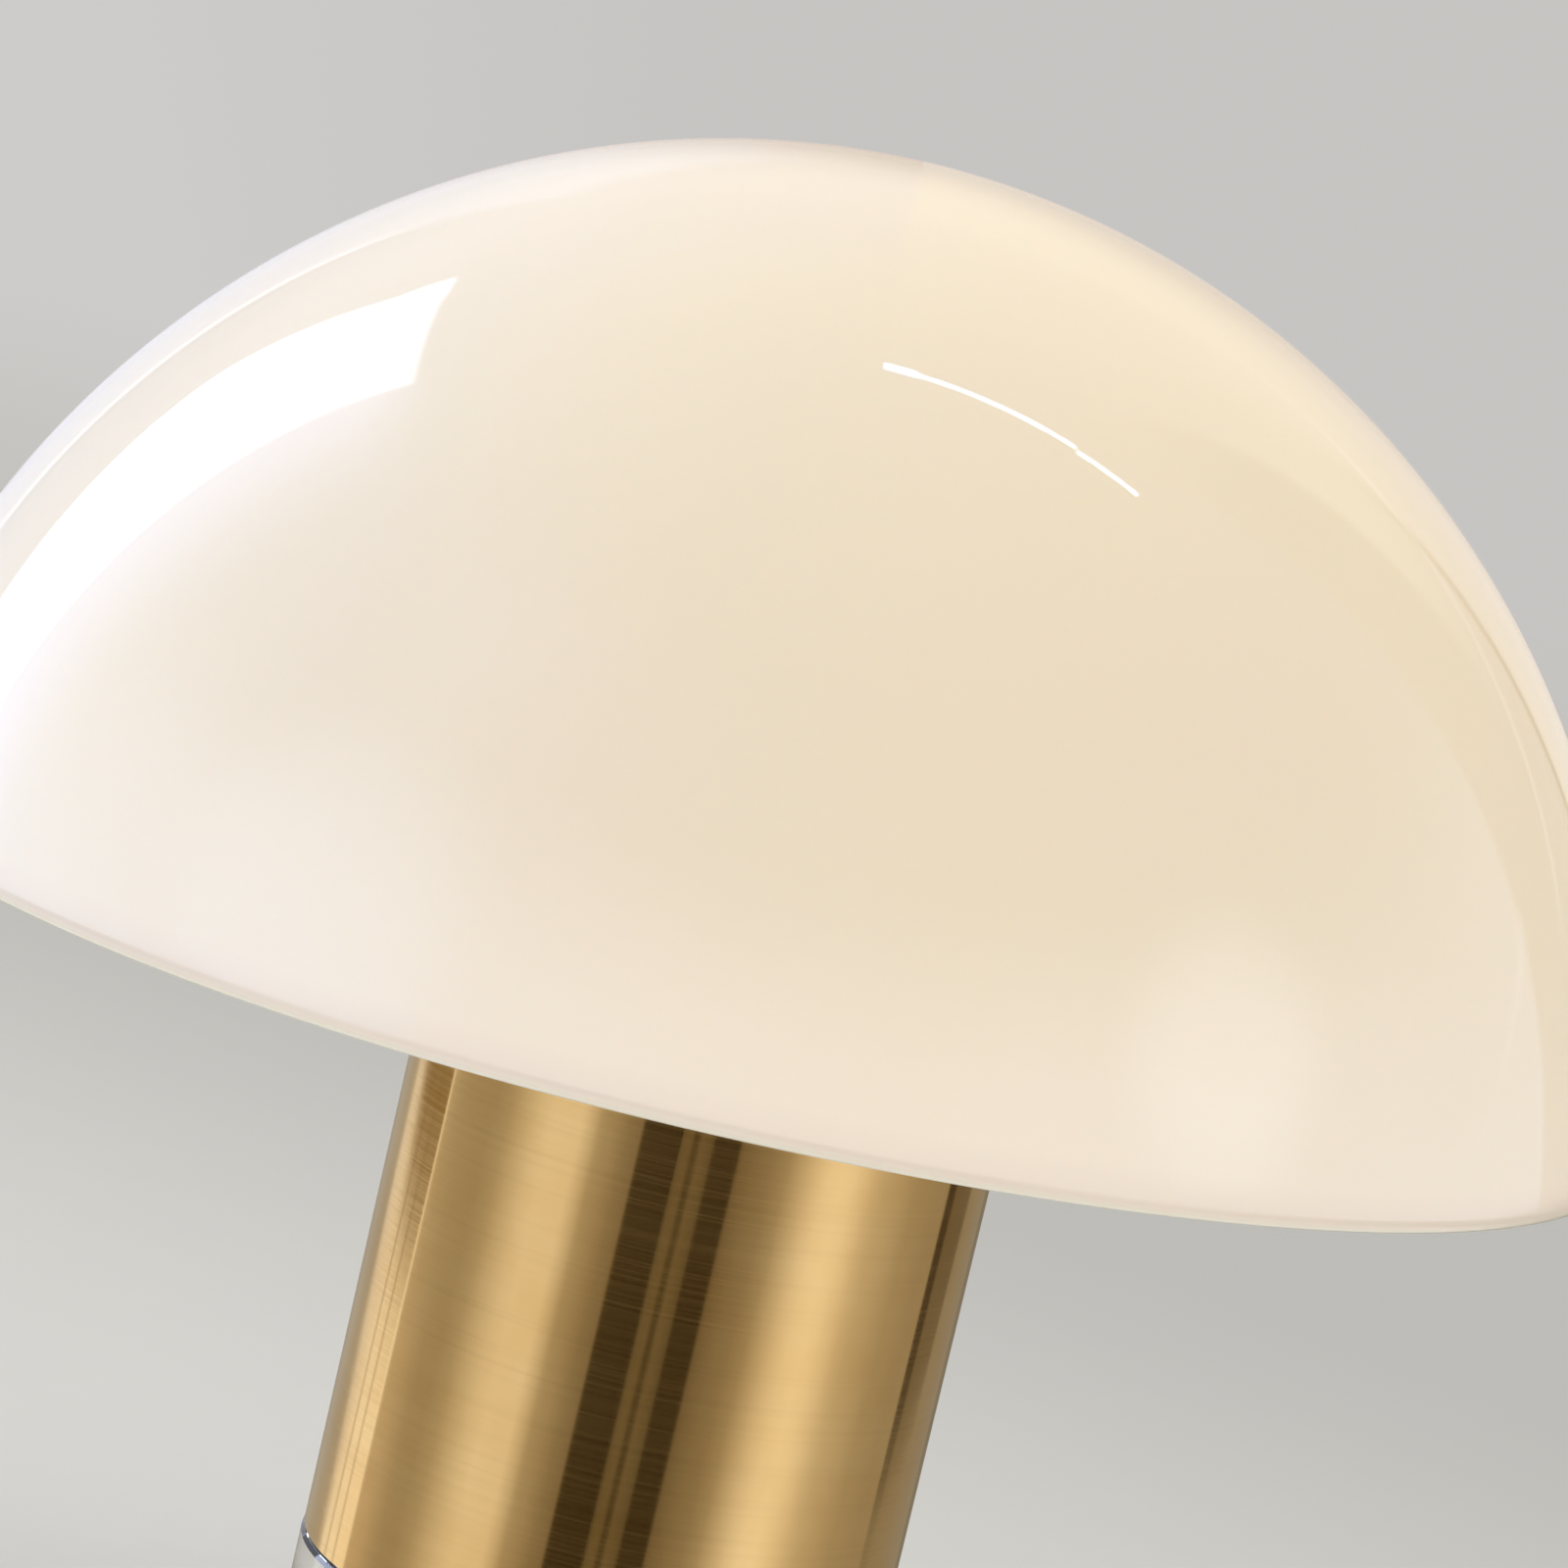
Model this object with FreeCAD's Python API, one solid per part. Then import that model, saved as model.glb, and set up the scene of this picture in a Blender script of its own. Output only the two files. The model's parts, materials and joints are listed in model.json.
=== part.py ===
"""Mushroom table lamp: an opal glass dome on a brass column that stands on a clear crystal foot.

Millimetres, +Z up, the origin on the table under the middle of the lamp and +Y towards its back.
The column is clamped to the crystal by one long bolt. The lamp holder hangs in the column's cap
between two threaded rings, which also clamp the three-armed spider. The dome only rests on the
spider's silicone tips, so its height follows from the spider's and lifts off to reach the bulb.
"""
import FreeCAD, Part
import math
import os

Vec = FreeCAD.Vector
ORIGIN = Vec(0, 0, 0)
UP = Vec(0, 0, 1)
FULL_TURN = 360.0

# Opal glass shade
shade_half_width = 152.0     # half width that the dome's curve has at its widest level
shade_rise = 157.5           # from the widest level to the top of the dome
shade_wall = 4.5
rim_cut = 24.6               # the rounded lip is centred this far above the widest level

# Brass column
column_radius = 50.0
column_wall = 1.2
column_height = 124.0
edge_break = 0.3
foot_plate_thickness = 3.0

# Crystal foot and what holds it
crystal_height = 51.5
crystal_margin = 0.25        # the crystal stands this far proud of the column
crystal_top_bevel = 0.6
crystal_bottom_bevel = 1.2
pad_thickness = 2.0
pad_inset = 4.0
gasket_thickness = 0.6
gasket_inset = 0.6

# M10 clamping bolt
bolt_radius = 5.0
bolt_across_flats = 16.0
bolt_head_height = 6.4
nut_height = 8.4
bolt_end_beyond_nut = 2.4
bolt_clearance_in_crystal = 1.0
bolt_clearance_in_steel = 0.25
head_room = 2.1              # between the bolt's head and the pad
counterbore_margin = 1.5     # between the washers and the counterbore's wall
steel_washer_radius = 15.0
steel_washer_thickness = 2.0
fibre_washer_thickness = 1.5
spring_washer_radius = 8.8
spring_washer_thickness = 2.2
spring_washer_split = 1.2

# Earth terminal on the foot plate
earth_offset = 28.0
earth_screw_radius = 2.0
earth_head_radius = 3.5
earth_head_height = 2.6
earth_washer_radius = 4.6
earth_washer_thickness = 0.8
earth_slot_width = 1.0
earth_slot_depth = 1.1

# Cord inlet at the back of the column
inlet_height = 14.0          # above the foot of the column
cord_bore_radius = 3.4
inlet_hole_radius = 6.0
grommet_flange_radius = 8.0
grommet_flange_thickness = 1.8
grommet_round = 0.8

# Column cap and its screws
cap_thickness = 2.0
cap_skirt_depth = 10.0
cap_skirt_wall = 2.0
cap_edge_round = 0.8
vent_count = 6
vent_width = 5.0
vent_ring_radius = 38.0
vent_sweep = 34.0            # degrees
cap_screw_count = 3
cap_screw_radius = 1.5
cap_screw_drop = 5.0         # below the column's upper edge
cap_screw_head_radius = 2.8
cap_screw_head_height = 1.7

# Spider that carries the shade
spider_arms = 3
spider_first_arm = 90.0      # degrees, so one arm points to the back
arm_radius = 2.5
arm_bend_at = 40.6           # distance from the axis where the arms turn up
arm_bend_radius = 12.0
seat_radius = 112.0          # distance from the axis where the tips meet the glass
hub_outer_radius = 30.0
hub_thickness = 6.0
tip_radius = 5.0
tip_length = 14.0
tip_end_thickness = 3.0
tip_round = 2.0

# Lamp holder for a 27 mm screw cap
holder_radius = 20.0
holder_skirt_wall = 2.6
holder_skirt_length = 44.0
holder_rise = 14.0           # the holder's mouth above the spider's hub
holder_mouth_lip = 2.0
holder_mouth_radius = 14.7
holder_cap_height = 18.0
holder_cap_wall = 2.2
holder_cap_spigot = 4.0
holder_entry_radius = 5.1
holder_entry_boss = 9.0
core_floor = 6.5
shell_wall = 0.4
shell_length = 18.0
shell_top_drop = 0.5
contact_thickness = 0.6
contact_width = 6.0
contact_wall_gap = 2.0       # between the leaf's fixed end and the screw shell
contact_room = 3.2           # between the core's floor and the bulb's tip
terminal_offset = 8.5
terminal_length = 6.5
terminal_width = 7.0
terminal_height = 3.4
ring_flange_radius = 28.0
ring_flange_thickness = 2.4
ring_collar_wall = 3.0
ring_height = 7.5
ring_notches = 16
ring_notch_radius = 1.6

# Screw-in bulb
bulb_cap_radius = 13.1
bulb_cap_wall = 0.4
bulb_cap_length = 22.0
bulb_insulator_height = 3.5
bulb_insulator_radius = 11.5
bulb_insulator_plug = 0.8    # how far the insulator reaches up into the cap
bulb_contact_radius = 5.0
bulb_contact_height = 1.5
bulb_collar_height = 17.5
bulb_collar_foot_radius = 14.2
bulb_globe_radius = 22.5
bulb_globe_wall = 1.2
bulb_globe_seat_radius = 20.0  # where the globe meets the collar
bulb_seat_ledge = 1.0
bulb_gap = 0.6               # between the bulb's collar and the holder's mouth

# Clearances
slip = 0.15                  # between pieces that are pushed or screwed together
turning = 0.08               # between the bulb's cap and the insulator in it
thread_clearance = 0.35      # between the bulb's cap and the holder's shell
rest_gap = 0.3               # where the shade and the bulb rest on soft or springy pieces

# Levels, from the table up
crystal_bottom = pad_thickness
head_bottom = crystal_bottom + head_room
head_top = head_bottom + bolt_head_height
steel_washer_top = head_top + steel_washer_thickness
counterbore_top = steel_washer_top + fibre_washer_thickness
crystal_top = crystal_bottom + crystal_height
column_foot = crystal_top + gasket_thickness
foot_plate_top = column_foot + foot_plate_thickness
nut_bottom = foot_plate_top + spring_washer_thickness
inlet_level = column_foot + inlet_height
column_top = column_foot + column_height
cap_screw_level = column_top - cap_screw_drop
cap_top = column_top + cap_thickness
hub_top = cap_top + hub_thickness
arm_level = cap_top + hub_thickness / 2
holder_mouth = hub_top + holder_rise
holder_skirt_bottom = holder_mouth - holder_skirt_length
bulb_foot = holder_mouth + bulb_gap
bulb_cap_bottom = bulb_foot - bulb_cap_length
bulb_tip = bulb_cap_bottom - bulb_insulator_height - bulb_contact_height
core_floor_top = bulb_tip - contact_room
core_bottom = core_floor_top - core_floor
core_top = holder_mouth - holder_mouth_lip - slip

# Radii that follow from others
column_bore = column_radius - column_wall
crystal_radius = column_radius + crystal_margin
counterbore_radius = steel_washer_radius + counterbore_margin
crystal_bore = bolt_radius + bolt_clearance_in_crystal
holder_bore = holder_radius - holder_skirt_wall
shell_bore = bulb_cap_radius + thread_clearance
shell_radius = shell_bore + shell_wall
holder_hole = holder_radius + slip
bolt_hole = bolt_radius + bolt_clearance_in_steel
shade_inner_half_width = shade_half_width - shade_wall
shade_inner_rise = shade_rise - shade_wall
cap_screw_first = spider_first_arm + FULL_TURN / (2 * cap_screw_count)


def turned(outline):
    """Solid turned about the lamp's axis from corners given as (radius, level)."""
    corners = [Vec(radius, 0, level) for radius, level in outline]
    wire = Part.makePolygon(corners + corners[:1])
    return Part.Face(wire).revolve(ORIGIN, UP, FULL_TURN)


def disc(radius, bottom, thickness, hole=0.0):
    """Round plate, with a hole where one is given."""
    top = bottom + thickness
    return turned([(hole, bottom), (radius, bottom), (radius, top), (hole, top)])


def bar(radius, start, direction, length):
    """Round bar from a start point."""
    return Part.makeCylinder(radius, length, start, direction)


def hexagon(across_flats, bottom, height):
    """Hexagonal prism on the lamp's axis."""
    sides = 6
    corner = across_flats / 2 / math.cos(math.pi / sides)
    angles = [2 * math.pi * step / sides for step in range(sides)]
    corners = [Vec(corner * math.cos(a), corner * math.sin(a), bottom) for a in angles]
    return Part.Face(Part.makePolygon(corners + corners[:1])).extrude(Vec(0, 0, height))


def turned_by(shape, angle):
    """Copy of a shape, turned about the lamp's axis."""
    return shape.rotated(ORIGIN, UP, angle)


def spread(shape, count, first=0.0):
    """Equal copies of a shape around the lamp's axis."""
    return [turned_by(shape, first + FULL_TURN * step / count) for step in range(count)]


def aimed(shape, place, direction):
    """Copy of a shape made along Z, moved to a place and aimed in a direction."""
    moved = shape.copy()
    moved.Placement = FreeCAD.Placement(place, FreeCAD.Rotation(UP, direction))
    return moved


def circles(shape, radius, level):
    """Circular edges of a shape that have a radius and lie at a level."""
    found = []
    for edge in shape.Edges:
        round_edge = isinstance(edge.Curve, Part.Circle)
        if round_edge and abs(edge.Curve.Radius - radius) < slip and abs(edge.Curve.Center.z - level) < slip:
            found.append(edge)
    return found


def dome_curve(half_width, rise, low_angle, centre):
    """Edge along a quarter of an ellipse, from an angle above its widest level to its top."""
    arc = Part.makeCircle(1, ORIGIN, Vec(0, -1, 0), math.degrees(low_angle), FULL_TURN / 4)
    stretch = FreeCAD.Matrix()
    stretch.scale(half_width, 1, rise)
    stretch.move(0, 0, centre)
    return arc.transformGeometry(stretch).Edges[0]


def shade_seat():
    """Where the spider's tips meet the glass: height above the dome's widest level, and the
    glass's outward direction there, in the plane of an arm."""
    share = seat_radius / shade_inner_half_width
    height = shade_inner_rise * math.sqrt(1 - share ** 2)
    direction = Vec(seat_radius / shade_inner_half_width ** 2, 0, height / shade_inner_rise ** 2)
    direction.normalize()
    return height, direction


seat_height, seat_direction = shade_seat()
seat_level = arm_level + (seat_radius - arm_bend_at) * seat_direction.z / seat_direction.x
shade_centre = seat_level - seat_height


def glass_shade():
    """Blown dome with an even wall and a full-round, fire-polished lip."""
    middle_rise = shade_rise - shade_wall / 2
    low = math.asin(rim_cut / middle_rise)
    outer = dome_curve(shade_half_width, shade_rise, low, shade_centre)
    inner = dome_curve(shade_inner_half_width, shade_inner_rise, low, shade_centre)
    outer_end = outer.valueAt(outer.FirstParameter)
    inner_end = inner.valueAt(inner.FirstParameter)
    lip_centre = (outer_end + inner_end) * 0.5
    lip_low = lip_centre + Vec(math.sin(low), 0, -math.cos(low)) * (shade_wall / 2)
    lip = Part.Arc(inner_end, lip_low, outer_end).toShape()
    crown = Part.makeLine(Vec(0, 0, shade_centre + shade_rise), Vec(0, 0, shade_centre + shade_inner_rise))
    wire = Part.Wire(Part.__sortEdges__([lip, outer, crown, inner]))
    return Part.Face(wire).revolve(ORIGIN, UP, FULL_TURN)


def spider_arm():
    """One arm: a rod that leaves the hub level, bends up and runs square to the glass."""
    start = Vec((holder_hole + hub_outer_radius) / 2, 0, arm_level)
    corner = Vec(arm_bend_at, 0, arm_level)
    seat = Vec(seat_radius, 0, seat_level)
    end = seat - seat_direction * (rest_gap + tip_end_thickness + slip)
    turn = math.atan2(seat_direction.z, seat_direction.x)
    run = arm_bend_radius * math.tan(turn / 2)
    bend_start = corner - Vec(run, 0, 0)
    bend_end = corner + seat_direction * run
    bend_centre = bend_start + Vec(0, 0, arm_bend_radius)
    half = turn / 2
    bend_middle = bend_centre + Vec(math.sin(half), 0, -math.cos(half)) * arm_bend_radius
    level_run = bar(arm_radius, start, Vec(1, 0, 0), bend_start.x - start.x)
    rising_run = bar(arm_radius, bend_end, seat_direction, (end - bend_end).Length)
    path = Part.Wire(Part.Arc(bend_start, bend_middle, bend_end).toShape())
    section = Part.Wire(Part.makeCircle(arm_radius, bend_start, Vec(1, 0, 0)))
    bend = path.makePipeShell([section], True, False)
    return level_run.fuse(bend).fuse(rising_run)


def shade_spider():
    """Hub ring with three arms brazed into it."""
    hub = disc(hub_outer_radius, cap_top, hub_thickness, holder_hole)
    return hub.multiFuse(spread(spider_arm(), spider_arms, spider_first_arm)).removeSplitter()


def spider_tips():
    """Silicone boots pushed over the ends of the arms."""
    boot = turned([(0, 0), (tip_radius, 0), (tip_radius, tip_length), (0, tip_length)])
    boot = boot.makeFillet(tip_round, circles(boot, tip_radius, tip_length))
    socket_depth = tip_length - tip_end_thickness
    boot = boot.cut(bar(arm_radius + slip, ORIGIN, UP, socket_depth))
    foot = Vec(seat_radius, 0, seat_level) - seat_direction * (rest_gap + tip_length)
    return Part.makeCompound(spread(aimed(boot, foot, seat_direction), spider_arms, spider_first_arm))


def column_tube():
    """Brass tube, with its inlet hole at the back and the cap's screw holes near the top."""
    tube = turned([
        (column_bore, column_foot),
        (column_radius - edge_break, column_foot),
        (column_radius, column_foot + edge_break),
        (column_radius, column_top - edge_break),
        (column_radius - edge_break, column_top),
        (column_bore, column_top),
    ])
    inlet = bar(inlet_hole_radius, Vec(0, 0, inlet_level), Vec(0, 1, 0), column_radius + 1)
    screw_hole = bar(cap_screw_radius + slip, Vec(0, 0, cap_screw_level), Vec(1, 0, 0), column_radius + 1)
    return tube.cut([inlet] + spread(screw_hole, cap_screw_count, cap_screw_first))


def column_foot_plate():
    """Steel disc brazed into the foot of the column."""
    plate = disc(column_bore - slip, column_foot, foot_plate_thickness, bolt_hole)
    earth_hole = bar(earth_screw_radius + slip, Vec(-earth_offset, 0, column_foot), UP, foot_plate_thickness)
    return plate.cut(earth_hole)


def earth_terminal():
    """Slotted screw and washer for the earth lead, on the foot plate."""
    washer = disc(earth_washer_radius, foot_plate_top, earth_washer_thickness, earth_screw_radius + slip)
    washer_top = foot_plate_top + earth_washer_thickness
    shank = bar(earth_screw_radius, Vec(0, 0, column_foot), UP, washer_top - column_foot)
    head = bar(earth_head_radius, Vec(0, 0, washer_top), UP, earth_head_height)
    slot = Part.makeBox(2 * earth_head_radius, earth_slot_width, earth_slot_depth)
    slot_bottom = washer_top + earth_head_height - earth_slot_depth
    slot.translate(Vec(-earth_head_radius, -earth_slot_width / 2, slot_bottom))
    group = Part.makeCompound([washer, shank.fuse(head).removeSplitter().cut(slot)])
    group.translate(Vec(-earth_offset, 0, 0))
    return group


def cord_grommet():
    """Rubber bush that lines the inlet hole; its two flanges follow the tube's wall."""
    inner_end = column_bore - grommet_flange_thickness
    length = column_radius + grommet_flange_thickness - inner_end
    body = Part.makeCylinder(grommet_flange_radius, length)
    rims = circles(body, grommet_flange_radius, 0) + circles(body, grommet_flange_radius, length)
    body = body.makeFillet(grommet_round, rims)
    body = aimed(body, Vec(0, inner_end, inlet_level), Vec(0, 1, 0))
    wall = disc(column_radius + slip / 2, column_foot, column_height, column_bore - slip / 2)
    neck = bar(inlet_hole_radius - slip, Vec(0, inner_end, inlet_level), Vec(0, 1, 0), length)
    bore = bar(cord_bore_radius, Vec(0, inner_end - 1, inlet_level), Vec(0, 1, 0), length + 2)
    return body.cut(wall).fuse(neck).removeSplitter().cut(bore)


def crystal_base():
    """Clear crystal cylinder with polished bevels, a bolt bore and a counterbore from below."""
    return turned([
        (counterbore_radius, crystal_bottom),
        (crystal_radius - crystal_bottom_bevel, crystal_bottom),
        (crystal_radius, crystal_bottom + crystal_bottom_bevel),
        (crystal_radius, crystal_top - crystal_top_bevel),
        (crystal_radius - crystal_top_bevel, crystal_top),
        (crystal_bore, crystal_top),
        (crystal_bore, counterbore_top),
        (counterbore_radius, counterbore_top),
    ])


def base_pad():
    """Soft pad that the lamp stands on, glued under the crystal."""
    return disc(crystal_radius - pad_inset, 0, pad_thickness)


def steel_washer():
    """Wide washer on the bolt's head."""
    return disc(steel_washer_radius, head_top, steel_washer_thickness, bolt_hole)


def fibre_washer():
    """Soft washer between the steel one and the crystal."""
    return disc(steel_washer_radius, steel_washer_top, fibre_washer_thickness, bolt_hole)


def column_gasket():
    """Dark ring between the crystal and the column's foot."""
    return disc(column_radius - gasket_inset, crystal_top, gasket_thickness, crystal_bore)


def base_bolt():
    """Hexagon bolt from under the crystal up into the column."""
    head = hexagon(bolt_across_flats, head_bottom, bolt_head_height)
    end = nut_bottom + nut_height + bolt_end_beyond_nut
    shank = bar(bolt_radius, Vec(0, 0, head_top), UP, end - head_top)
    return head.fuse(shank).removeSplitter()


def base_nut():
    """Nut on the bolt, inside the column."""
    nut = hexagon(bolt_across_flats, nut_bottom, nut_height)
    return nut.cut(bar(bolt_radius + slip, Vec(0, 0, nut_bottom), UP, nut_height))


def spring_washer():
    """Split washer under the nut."""
    washer = disc(spring_washer_radius, foot_plate_top, spring_washer_thickness, bolt_hole)
    split = Part.makeBox(spring_washer_radius, spring_washer_split, spring_washer_thickness)
    split.translate(Vec(0, -spring_washer_split / 2, foot_plate_top))
    return washer.cut(split)


def column_cap():
    """Cap that rests on the tube and reaches down into it, with the holder's hole and vents."""
    skirt_radius = column_bore - slip
    cap = turned([
        (holder_hole, column_top),
        (skirt_radius - cap_skirt_wall, column_top),
        (skirt_radius - cap_skirt_wall, column_top - cap_skirt_depth),
        (skirt_radius, column_top - cap_skirt_depth),
        (skirt_radius, column_top),
        (column_radius, column_top),
        (column_radius, cap_top),
        (holder_hole, cap_top),
    ])
    cap = cap.makeFillet(cap_edge_round, circles(cap, column_radius, cap_top))
    screw_hole = bar(cap_screw_radius + slip, Vec(0, 0, cap_screw_level), Vec(1, 0, 0), column_radius)
    vents = spread(vent_slot(), vent_count, spider_first_arm)
    return cap.cut(spread(screw_hole, cap_screw_count, cap_screw_first) + vents)


def vent_slot():
    """Kidney-shaped cutter for one vent, centred on the X axis."""
    half = vent_width / 2
    sector = disc(vent_ring_radius + half, column_top, cap_thickness, vent_ring_radius - half)
    reach = 2 * vent_ring_radius
    spread_angle = math.radians(vent_sweep / 2)
    side = Vec(reach * math.cos(spread_angle), reach * math.sin(spread_angle), column_top)
    other = Vec(side.x, -side.y, column_top)
    apex = Vec(0, 0, column_top)
    wedge = Part.Face(Part.makePolygon([apex, other, side, apex])).extrude(Vec(0, 0, cap_thickness))
    slot = sector.common(wedge)
    ends = []
    for sign in (-1, 1):
        middle = Vec(math.cos(spread_angle), sign * math.sin(spread_angle), 0) * vent_ring_radius
        ends.append(bar(half, middle + Vec(0, 0, column_top), UP, cap_thickness))
    return slot.multiFuse(ends)


def cap_screws():
    """Pan-head screws that hold the cap in the tube."""
    shank_start = column_bore - slip - cap_skirt_wall
    seat = column_radius + slip
    shank = bar(cap_screw_radius, Vec(shank_start, 0, cap_screw_level), Vec(1, 0, 0), seat - shank_start)
    head = Part.makeCylinder(cap_screw_head_radius, cap_screw_head_height)
    crown = circles(head, cap_screw_head_radius, cap_screw_head_height)
    head = head.makeFillet(cap_screw_head_height / 2, crown)
    head = aimed(head, Vec(seat, 0, cap_screw_level), Vec(1, 0, 0))
    screw = shank.fuse(head).removeSplitter()
    return Part.makeCompound(spread(screw, cap_screw_count, cap_screw_first))


def holder_ring(flange_level, side):
    """Threaded clamping ring; side is 1 where its collar stands up and -1 where it hangs down."""
    collar = holder_hole + ring_collar_wall
    step = flange_level + side * ring_flange_thickness
    far = flange_level + side * ring_height
    ring = turned([
        (holder_hole, flange_level),
        (ring_flange_radius, flange_level),
        (ring_flange_radius, step),
        (collar, step),
        (collar, far),
        (holder_hole, far),
    ])
    low = min(flange_level, step)
    notch = bar(ring_notch_radius, Vec(ring_flange_radius, 0, low), UP, ring_flange_thickness)
    return ring.cut(spread(notch, ring_notches))


def holder_ring_lower():
    """Ring under the column's cap."""
    return holder_ring(column_top, -1)


def holder_ring_upper():
    """Ring on the spider's hub."""
    return holder_ring(hub_top, 1)


def holder_skirt():
    """Outer sleeve of the lamp holder, with its turned-in mouth."""
    return turned([
        (holder_bore, holder_skirt_bottom),
        (holder_radius, holder_skirt_bottom),
        (holder_radius, holder_mouth - edge_break),
        (holder_radius - edge_break, holder_mouth),
        (holder_mouth_radius, holder_mouth),
        (holder_mouth_radius, holder_mouth - holder_mouth_lip),
        (holder_bore, holder_mouth - holder_mouth_lip),
    ])


def holder_cap():
    """Lower cover of the lamp holder: it tapers to the cord entry and plugs into the sleeve."""
    floor = holder_skirt_bottom - holder_cap_height
    shoulder = floor + holder_cap_height / 2
    spigot = holder_bore - slip
    return turned([
        (holder_entry_radius, floor),
        (holder_entry_boss, floor),
        (holder_entry_boss, floor + holder_cap_wall),
        (holder_radius, shoulder),
        (holder_radius, holder_skirt_bottom),
        (spigot, holder_skirt_bottom),
        (spigot, holder_skirt_bottom + holder_cap_spigot),
        (spigot - holder_cap_wall, holder_skirt_bottom + holder_cap_spigot),
        (spigot - holder_cap_wall, shoulder + holder_cap_wall),
        (holder_entry_boss, floor + 2 * holder_cap_wall),
        (holder_entry_radius, floor + 2 * holder_cap_wall),
    ])


def holder_core():
    """Ceramic cup inside the holder that insulates the screw shell."""
    outer = holder_bore - slip
    return turned([
        (0, core_bottom),
        (outer, core_bottom),
        (outer, core_top),
        (shell_radius + slip, core_top),
        (shell_radius + slip, core_floor_top),
        (0, core_floor_top),
    ])


def holder_screw_shell():
    """Thin metal sleeve that takes the bulb's cap, standing on the core's floor by two tabs."""
    top = core_top - shell_top_drop
    bottom = top - shell_length
    sleeve = disc(shell_radius, bottom, shell_length, shell_bore)
    tab_height = bottom - core_floor_top
    legs = disc(shell_radius, core_floor_top, tab_height, shell_bore)
    width = Part.makeBox(contact_width, 2 * shell_radius, tab_height)
    width.translate(Vec(-contact_width / 2, -shell_radius, core_floor_top))
    return sleeve.fuse(legs.common(width)).removeSplitter()


def holder_contact():
    """Leaf spring on the core's floor that meets the bulb's tip."""
    rise = contact_room - rest_gap
    foot = -shell_bore + contact_wall_gap
    leaf = [
        (foot, 0),
        (foot / 3, 0),
        (-bulb_contact_radius / 3, rise - contact_thickness),
        (bulb_contact_radius, rise - contact_thickness),
        (bulb_contact_radius, rise),
        (-bulb_contact_radius / 2, rise),
        (foot / 2, contact_thickness),
        (foot, contact_thickness),
    ]
    corners = [Vec(x, -contact_width / 2, core_floor_top + z) for x, z in leaf]
    return Part.Face(Part.makePolygon(corners + corners[:1])).extrude(Vec(0, contact_width, 0))


def holder_terminals():
    """Two brass terminal blocks under the core, each with the hole for its lead."""
    block = Part.makeBox(terminal_length, terminal_width, terminal_height)
    low = core_bottom - terminal_height
    block.translate(Vec(terminal_offset - terminal_length / 2, -terminal_width / 2, low))
    middle = Vec(terminal_offset, 0, low)
    block = block.cut(bar(terminal_height / 3, middle, UP, terminal_height / 2))
    return Part.makeCompound(spread(block, 2))


def bulb_screw_cap():
    """Metal screw cap of the bulb, open below for the insulator."""
    inner = bulb_cap_radius - bulb_cap_wall
    throat = bulb_insulator_radius + turning
    shoulder = bulb_cap_bottom + bulb_insulator_plug
    return turned([
        (throat, bulb_cap_bottom),
        (inner, bulb_cap_bottom),
        (bulb_cap_radius, shoulder),
        (bulb_cap_radius, bulb_foot),
        (inner, bulb_foot),
        (inner, shoulder + bulb_cap_wall),
        (throat, shoulder),
    ])


def bulb_insulator():
    """Black cone that closes the bulb's cap and carries the contact."""
    top = bulb_cap_bottom + bulb_insulator_plug
    low = bulb_cap_bottom - bulb_insulator_height
    return turned([
        (0, low),
        (bulb_contact_radius, low),
        (bulb_insulator_radius, bulb_cap_bottom),
        (bulb_insulator_radius, top),
        (0, top),
    ])


def bulb_contact():
    """Button contact at the bulb's tip."""
    button = disc(bulb_contact_radius, bulb_tip, bulb_contact_height)
    return button.makeFillet(bulb_contact_height / 2, circles(button, bulb_contact_radius, bulb_tip))


def bulb_collar():
    """Plastic body between the cap and the globe, flared towards the globe."""
    top = bulb_foot + bulb_collar_height
    rim = bulb_globe_seat_radius + bulb_seat_ledge
    waist = (bulb_collar_foot_radius + rim + bulb_seat_ledge) / 2
    flare = Part.BSplineCurve()
    flare.interpolate([
        Vec(bulb_collar_foot_radius, 0, bulb_foot),
        Vec(waist, 0, bulb_foot + bulb_collar_height / 2),
        Vec(rim, 0, top),
    ])
    sides = [
        Part.makeLine(Vec(0, 0, bulb_foot), Vec(bulb_collar_foot_radius, 0, bulb_foot)),
        flare.toShape(),
        Part.makeLine(Vec(rim, 0, top), Vec(0, 0, top)),
        Part.makeLine(Vec(0, 0, top), Vec(0, 0, bulb_foot)),
    ]
    return Part.Face(Part.Wire(sides)).revolve(ORIGIN, UP, FULL_TURN)


def bulb_globe():
    """Thin opal globe that stands on the collar."""
    level = bulb_foot + bulb_collar_height
    centre = Vec(0, 0, level + math.sqrt(bulb_globe_radius ** 2 - bulb_globe_seat_radius ** 2))
    hollow = Part.makeSphere(bulb_globe_radius - bulb_globe_wall, centre)
    ball = Part.makeSphere(bulb_globe_radius, centre).cut(hollow)
    keep = bar(2 * bulb_globe_radius, Vec(0, 0, level), UP, 2 * bulb_globe_radius)
    return ball.common(keep)


NODES = (
    base_pad,
    crystal_base,
    base_bolt,
    steel_washer,
    fibre_washer,
    column_gasket,
    column_tube,
    column_foot_plate,
    spring_washer,
    base_nut,
    earth_terminal,
    cord_grommet,
    column_cap,
    cap_screws,
    shade_spider,
    spider_tips,
    holder_ring_lower,
    holder_ring_upper,
    holder_skirt,
    holder_cap,
    holder_core,
    holder_screw_shell,
    holder_contact,
    holder_terminals,
    bulb_screw_cap,
    bulb_insulator,
    bulb_contact,
    bulb_collar,
    bulb_globe,
    glass_shade,
)

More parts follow.
